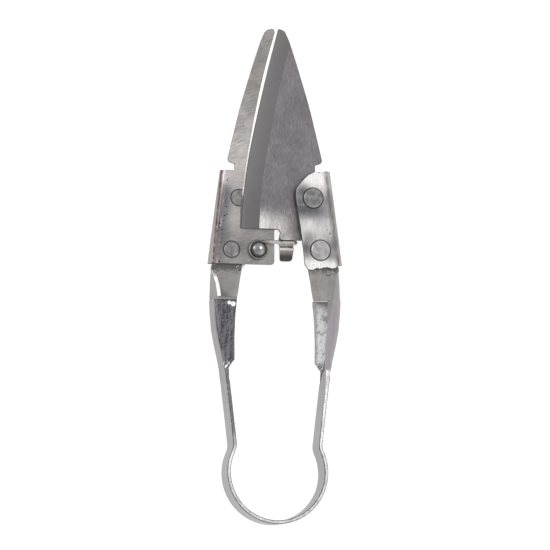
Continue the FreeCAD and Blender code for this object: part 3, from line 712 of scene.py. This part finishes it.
def smooth_noise(point, feature, seed):
    """Noise between about -1 and 1, with features this many millimetres wide."""
    return noise.noise(Vector(point) / feature + Vector((seed, 2.7 * seed, 5.1 * seed)))


def as_object(name, mesh, materials, choose=None):
    """Finish a mesh: choose(centre in mm, normal) picks one of the materials for a face."""
    bmesh.ops.recalc_face_normals(mesh, faces=mesh.faces)
    for face in mesh.faces:
        face.smooth = True
        if choose is not None:
            picked = choose(face.calc_center_median() / MM, face.normal)
            face.material_index = materials.index(picked)
    data = bpy.data.meshes.new(name)
    mesh.to_mesh(data)
    mesh.free()
    for material in materials:
        data.materials.append(material)
    data.set_sharp_from_angle(angle=SHADED_SHARP)
    obj = bpy.data.objects.new(name, data)
    bpy.context.scene.collection.objects.link(obj)
    weighted = obj.modifiers.new("even_shading", "WEIGHTED_NORMAL")
    weighted.keep_sharp = True
    return obj


def edge_x(along):
    """Across position of the right blade's cutting edge."""
    tip_across, tip_along = CUTTING_EDGE[0]
    if along >= tip_along:
        return tip_across + (along - tip_along) * TIP_SLOPE
    for (across_a, along_a), (across_b, along_b) in zip(CUTTING_EDGE, CUTTING_EDGE[1:]):
        if along >= along_b:
            return across_a + (along - along_a) / (along_b - along_a) * (across_b - across_a)
    return CUTTING_EDGE[-1][0]


# ---------------- blades

BLADE_ROUND = 0.07                   # rounding of its edges
LEFT_SHARP = 0.9                     # no rounding this near the cutting edge
WAVE_TOP_Y, WAVE_FROM_X = 26.4, 4.0  # the socket is wavy below and outside these
WAVE_DEPTH = 0.03
MARK_DEPTH = 0.04                    # hammer marks lie in a ring round each rivet
MARK_RADIUS = 3.6
SOCKET_STEP = 0.6                    # between the cuts that let the socket be shaped


def build_blade(side):
    """A blade with rounded edges, hammered a little out of flat round its rivets."""
    sign = sign_of(side)
    outer = brushed_blade(side)
    shear = shear_face(side)
    bevel = bevel_steel(side)
    honed = honed_steel(side)
    flap = flap_steel(side)
    edge = plate_edge_steel(side)
    tab = tab_steel(side)

    def clear_of_edge(point):
        return abs(sign * point.x - edge_x(point.y)) > LEFT_SHARP or point.y < 12.0

    def finish_for(centre, normal):
        # the left blade lies the other way up
        across = sign * centre.x
        facing = sign * normal.z
        level = sign * (centre.z - SHEAR_Z)
        from_edge = across - edge_x(centre.y)
        in_socket = centre.y < SOCKET_TOP_Y
        in_fold = in_socket and across > FOLD_X
        if side == "right" and TAB_FROM_X < across < TAB_TO_X and centre.y < TAB_TOP_Y:
            return tab
        if abs(facing) < UPRIGHT and not (in_fold and abs(normal.y) < 0.6):
            return edge
        if in_socket and (level > 1.6 or in_fold and level > 0.9 and facing > -0.3):
            return flap
        above_foot = centre.y > BEVEL_FOOT_Y
        if above_foot and facing > 0.9 and from_edge < HONED_WIDTH and level < 0.5:
            return honed
        # the bevel leans a little, and the outer face is level
        if above_foot and 0.9 < facing < 0.995 and level < PLATE + 0.02:
            return bevel
        if facing < -0.3 or in_fold:
            return shear
        return outer

    def dents(point):
        """Hammer marks round the rivets, and a slightly wavy socket."""
        across = sign * point.x
        if point.y >= WAVE_TOP_Y or across <= WAVE_FROM_X:
            return 0.0
        fade = min(1.0, (across - WAVE_FROM_X) / 2.0)
        depth = WAVE_DEPTH * fade * smooth_noise(point, 3.2, 4.0 + sign)
        for _, rivet_x, rivet_y in RIVETS:
            away = math.hypot(across - rivet_x, point.y - rivet_y)
            ring = math.exp(-(away - MARK_RADIUS) ** 2)
            depth -= MARK_DEPTH * fade * ring * (0.7 + smooth_noise(point, 2.0, 9.0))
        return depth

    mesh = cad_copy(side + "_blade")
    soften(mesh, BLADE_ROUND, clear_of_edge)
    slice_up(mesh, 0, [sign * x for x in spread(4.2, 16.8, SOCKET_STEP)])
    slice_up(mesh, 1, spread(1.6, 27.0, SOCKET_STEP))
    lumps(mesh, dents)
    finishes = [outer, shear, bevel, honed, flap, edge, tab]
    blade = as_object(side + "_blade_plate", mesh, finishes, finish_for)
    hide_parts(side + "_blade")
    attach(blade, side)


for side in ("left", "right"):
    build_blade(side)


# ---------------- handle strip

WELD = 0.02                          # joins the arm to its half of the bow
LEDGE_WELD = 0.12                    # closes the ledge where the shoulder meets the grip
LEDGE_FROM_X = 15.0
GRIP_ROUND, LEG_ROUND = 0.1, 0.19    # rounding above and below the next height
LEG_ROUND_TOP_Y = -25.0
CORNER_TOP_Y = -25.8                 # worn corners lie below this
STEP_TOP_Y, STEP_FOOT_Y = -6.0, -7.0 # the step from shoulder to grip


def build_handle(side):
    """One half of the strip: tang, shoulder, grip, leg and half of the bow."""
    sign = sign_of(side)
    strip = strip_steel(side)
    cut_edge = cut_edge_steel(side)
    web_end_highlight = web_end_highlight_steel(side)
    flange_outer = flange_outside(side)
    flange_inner = flange_inside(side)
    broad = strip_side_steel(side)
    end = plate_edge_steel(side)
    corner = corner_steel(side)
    mesh = cad_copy(side + "_arm", "bow_spring")
    # drop the two end faces that meet where the leg runs on into the bow
    inside = [face for face in mesh.faces
              if all(abs(vert.co.y / MM - LEG_FOOT_Y) < 1e-3 for vert in face.verts)
              and sign * face.calc_center_median().x > 0]
    bmesh.ops.delete(mesh, geom=inside, context="FACES_ONLY")
    bmesh.ops.remove_doubles(mesh, verts=mesh.verts, dist=WELD * MM)
    ledge = [vert for vert in mesh.verts
             if abs(vert.co.y / MM - SHOULDER_FOOT_Y) < 0.02 and abs(vert.co.x) / MM > LEDGE_FROM_X]
    bmesh.ops.remove_doubles(mesh, verts=ledge, dist=LEDGE_WELD * MM)
    soften(mesh, GRIP_ROUND, lambda point: LEG_ROUND_TOP_Y < point.y < 1.0)
    soften(mesh, LEG_ROUND, lambda point: point.y < LEG_ROUND_TOP_Y)
    # keep this half of the bow and close it at X = 0
    cut(mesh, (0, 0, 0), (-sign, 0, 0), clear_outer=True)
    rim = [edge for edge in mesh.edges if edge.is_boundary]
    bmesh.ops.contextual_create(mesh, geom=rim)
    slice_up(mesh, 1, spread(BOW_END_Y, 1.0, 0.7))
    slice_up(mesh, 2, [1.5, 3.0, 4.5, 6.0])

    def waves(point):
        """A strip that is slightly uneven, and hammered along the grip."""
        depth = 0.035 * smooth_noise(point, 4.5, 12.0 + sign)
        if -27.0 < point.y < -3.0:
            depth += 0.03 * smooth_noise(point, 1.6, 30.0 + sign)
        # the tang stays flat between plate and flap, and the two halves meet at X = 0
        calm = share_of(-point.y, 0.0, 3.0) * min(1.0, abs(point.x) / 1.5)
        return depth * calm

    def finish_for(centre, normal):
        # the left handle lies the other way up
        across = sign * centre.x
        facing = sign * normal.z
        level = sign * (centre.z - SHEAR_Z)
        flat = abs(facing) > UPRIGHT
        if centre.y < FLANGE_FOOT_Y:
            if 0.2 < abs(facing) < 0.97 and centre.y < CORNER_TOP_Y:
                return corner
            return cut_edge if flat else broad
        if STEP_FOOT_Y < centre.y < STEP_TOP_Y and abs(normal.y) > 0.25 and across < LEDGE_FROM_X:
            return end
        if centre.y > STEP_TOP_Y:
            if facing < -0.3 and level < 0.9:
                return web_end_highlight
            if flat:
                return strip
            return broad if across > 14.0 else end
        if level < -3.3 and facing < -0.3:
            return flange_outer
        if level < -2.0 and facing > 0.5:
            return flange_inner
        return strip if flat else broad

    lumps(mesh, waves)
    finishes = [strip, cut_edge, web_end_highlight, flange_outer, flange_inner, broad, end, corner]
    handle = as_object(side + "_handle", mesh, finishes, finish_for)
    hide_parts(side + "_arm", "bow_spring")
    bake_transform(handle)


for side in ("left", "right"):
    build_handle(side)


# ---------------- rivets and stud

def turns_of(segments):
    """Angles round a full circle."""
    return [2 * math.pi * index / segments for index in range(segments)]


def lathe(profile, segments=56):
    """Closed turned solid about Z from (radius, height) in mm, first and last on the axis."""
    mesh = bmesh.new()
    rings = []
    for radius, height in profile:
        if radius == 0:
            rings.append([mesh.verts.new((0, 0, height * MM))])
            continue
        rings.append([mesh.verts.new((radius * math.cos(a) * MM, radius * math.sin(a) * MM, height * MM))
                      for a in turns_of(segments)])
    for lower, upper in zip(rings, rings[1:]):
        for index in range(segments):
            following = (index + 1) % segments
            corners = [lower[index % len(lower)], lower[following % len(lower)],
                       upper[following % len(upper)], upper[index % len(upper)]]
            kept = list(dict.fromkeys(corners))
            if len(kept) > 2:
                mesh.faces.new(kept)
    return mesh


def cap(radius, rim, crown, count):
    """Points of a domed cap from its rim to its crown."""
    angles = [math.pi / 2 * index / count for index in range(count)]
    dome = [(radius * math.cos(t), rim + (crown - rim) * math.sin(t)) for t in angles]
    return dome + [(0, crown)]


# (radius, height) of the flush end from its foot, and (radius, depth below the top) of the head
FLUSH_END = [(0, 0.0), (0.7, 0.0), (1.3, 0.0), (1.75, 0.01), (1.9, 0.04), (1.96, 0.1), (1.5, 0.55)]
PEENED_HEAD = [(1.5, 0.55), (2.4, 0.55), (2.49, 0.48), (2.5, 0.34), (2.43, 0.2), (2.28, 0.1),
               (2.06, 0.06), (1.78, 0.1), (1.4, 0.13), (1.0, 0.1), (0.7, 0.06), (0.35, 0.02), (0, 0)]


def build_rivet(side, place, across, along, finish):
    """A rivet with one flush end and one hammered head."""
    sign = sign_of(side)
    low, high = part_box("%s_%s_rivet" % (side, place))
    length = (high.z - low.z) / MM
    mesh = lathe(FLUSH_END + [(radius, length - depth) for radius, depth in PEENED_HEAD])
    seed = 40.0 + across + 3 * sign

    def blows(point):
        """Hollows in the head that fade out down its side."""
        return -0.05 * share_of(point.z - length, -0.5, -0.2) * (0.5 + smooth_noise(point, 1.0, seed))

    lumps(mesh, blows)
    base = low.z
    if side == "left":
        bmesh.ops.rotate(mesh, verts=mesh.verts, matrix=Matrix.Rotation(math.pi, 3, "Y"), cent=(0, 0, 0))
        base = high.z
    bmesh.ops.translate(mesh, verts=mesh.verts, vec=(sign * across * MM, along * MM, base))
    rivet = as_object("%s_%s_rivet_peened" % (side, place), mesh, [finish])
    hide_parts("%s_%s_rivet" % (side, place))
    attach(rivet, side)


dull_peened = rivet_steel("rivet_dull", 0.185, 0.295)
bright_peened = rivet_steel("rivet_bright", 0.34, 0.48)
for side in ("left", "right"):
    for place, across, along in RIVETS:
        # the lower head on the right gets the paler recipe
        brighter_head = side == "right" and place == "lower"
        build_rivet(side, place, across, along, bright_peened if brighter_head else dull_peened)


def build_stud():
    """The turned stud: a foot, a neck for the wire's eye and a dome."""
    low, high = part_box("catch_stud")
    height = (high.z - low.z) / MM
    neck = height - 1.15
    profile = [(0, 0), (1.2, 0.03), (1.6, 0.2), (1.7, 0.45), (1.1, 0.47), (1.1, 1.42), (1.5, 1.45),
               (1.5, neck), (2.05, neck), (2.15, neck + 0.1)] + cap(2.14, neck + 0.2, height, 12)
    mesh = lathe(profile)
    bmesh.ops.translate(mesh, verts=mesh.verts, vec=(STUD[0] * MM, STUD[1] * MM, low.z))
    stud = as_object("catch_stud_turned", mesh, [polished_steel()])
    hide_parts("catch_stud")
    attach(stud, "left")


build_stud()


# ---------------- spring-wire catch

def tube(points, radius, segments=20):
    """Round bar along points in mm, with rounded ends."""
    line = [Vector(point) for point in points]
    ways = []
    for index in range(len(line)):
        before = line[max(index - 1, 0)]
        after = line[min(index + 1, len(line) - 1)]
        ways.append((after - before).normalized())

    def round_end(point, way, outwards):
        """Rings of a rounded end, from the bar out."""
        angles = [math.radians(angle) for angle in (15, 35, 60, 80)]
        return [(point + way * outwards * radius * math.sin(t), way, radius * math.cos(t)) for t in angles]

    stations = round_end(line[0], ways[0], -1)[::-1]
    stations += [(point, way, radius) for point, way in zip(line, ways)]
    stations += round_end(line[-1], ways[-1], 1)
    mesh = bmesh.new()
    rings = []
    side_way = ways[0].orthogonal().normalized()
    for centre, way, here in stations:
        side_way = (side_way - way * side_way.dot(way)).normalized()
        other = way.cross(side_way)
        ring = []
        for turn in turns_of(segments):
            offset = side_way * math.cos(turn) + other * math.sin(turn)
            ring.append(mesh.verts.new((centre + offset * here) * MM))
        rings.append(ring)
    for first, second in zip(rings, rings[1:]):
        for index in range(segments):
            following = (index + 1) % segments
            mesh.faces.new((first[index], first[following], second[following], second[index]))
    mesh.faces.new(rings[0][::-1])
    mesh.faces.new(rings[-1])
    return mesh


def build_catch():
    """An eye round the stud's neck, a straight arm and a hook turned down past the tab."""
    radius = 0.485
    eye = 2.05
    level = SHEAR_Z + radius + 0.02
    reach = 5.5
    bend = 0.75
    hook_depth = 2.3
    stud_x, stud_y = STUD
    arm_y = stud_y + eye
    eye_steps = 48
    bend_steps = 8
    points = []
    for index in range(eye_steps + 1):
        angle = math.radians(24 - 294 * index / eye_steps)
        points.append((stud_x + eye * math.cos(angle), stud_y + eye * math.sin(angle), level))
    for share in (0.15, 0.35, 0.6, 0.8, 1.0):
        points.append((stud_x + share * (reach - bend - stud_x), arm_y, level))
    for index in range(1, bend_steps + 1):
        angle = math.pi / 2 * index / bend_steps
        points.append((reach - bend + bend * math.sin(angle), arm_y,
                       level - bend + bend * math.cos(angle)))
    points.append((reach, arm_y, SHEAR_Z - hook_depth + radius))
    wire = as_object("catch_wire_drawn", tube(points, radius), [drawn_steel()])
    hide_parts("catch_wire")
    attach(wire, "catch")


build_catch()


# ---------------- floor, light and camera

def build_floor():
    """A table that glows, so that it looks white all over."""
    mesh = bmesh.new()
    bmesh.ops.create_grid(mesh, x_segments=1, y_segments=1, size=1.5)
    bmesh.ops.translate(mesh, verts=mesh.verts, vec=(0, 0, -0.05 * MM))
    table = Finish("floor_table", "right", 0.0, 0.9)
    table.shader.inputs["Base Color"].default_value = (0.32, 0.32, 0.32, 1)
    table.shader.inputs["Emission Color"].default_value = (1, 1, 1, 1)
    table.shader.inputs["Emission Strength"].default_value = 0.82
    as_object("floor", mesh, [table.done()])


def build_world():
    """A bright tent, dimmer overhead so that level metal stays grey, and a little to the right."""
    world = bpy.data.worlds.new("light_tent")
    bpy.context.scene.world = world
    world.use_nodes = True
    tree = world.node_tree
    background = tree.nodes["Background"]
    background.inputs["Color"].default_value = (1, 1, 1, 1)
    split = tree.nodes.new("ShaderNodeSeparateXYZ")
    tree.links.new(tree.nodes.new("ShaderNodeTexCoord").outputs["Generated"], split.inputs[0])

    def along_sky(axis, shape, low, high, at_low, at_high):
        """Brightness that changes along one direction of the sky."""
        node = tree.nodes.new("ShaderNodeMapRange")
        node.interpolation_type = shape
        set_range(node, low, high, at_low, at_high)
        tree.links.new(split.outputs[axis], node.inputs["Value"])
        return node.outputs["Result"]

    product = tree.nodes.new("ShaderNodeMath")
    product.operation = "MULTIPLY"
    tree.links.new(along_sky("Z", "SMOOTHSTEP", 0.4, 0.97, 1.15, 0.95), product.inputs[0])
    tree.links.new(along_sky("X", "LINEAR", -1.0, 1.0, 1.08, 0.92), product.inputs[1])
    tree.links.new(product.outputs[0], background.inputs["Strength"])


def softbox(name, place, power, size):
    """A square lamp at place, aimed at the origin."""
    lamp = bpy.data.lights.new(name, "AREA")
    lamp.energy = power
    lamp.size = size
    obj = bpy.data.objects.new(name, lamp)
    obj.location = place
    obj.rotation_euler = (-Vector(place)).to_track_quat("-Z", "Y").to_euler()
    bpy.context.scene.collection.objects.link(obj)


def build_camera():
    """Looking down on the tool, a little from the left and from the bow's end."""
    back = Vector((-0.23, -0.116, 1.0)).normalized()
    across = Vector((0, 1, 0)).cross(back).normalized()
    up = back.cross(across)
    lens = bpy.data.cameras.new("camera")
    lens.sensor_width = 36.0
    lens.lens = 258.4
    lens.clip_start = 0.01
    camera = bpy.data.objects.new("camera", lens)
    aim = Vector((0.05, 0.08, 3.75)) * MM
    turn = Matrix((across, up, back)).transposed().to_4x4()
    camera.matrix_world = Matrix.Translation(aim + back) @ turn
    bpy.context.scene.collection.objects.link(camera)
    bpy.context.scene.camera = camera


build_floor()
build_world()
softbox("key_softbox", (-0.45, 0.3, 0.8), 1.2, 0.25)
softbox("fill_softbox", (0.5, -0.3, 0.6), 0.5, 0.4)
build_camera()
bpy.context.scene.view_settings.view_transform = "Standard"
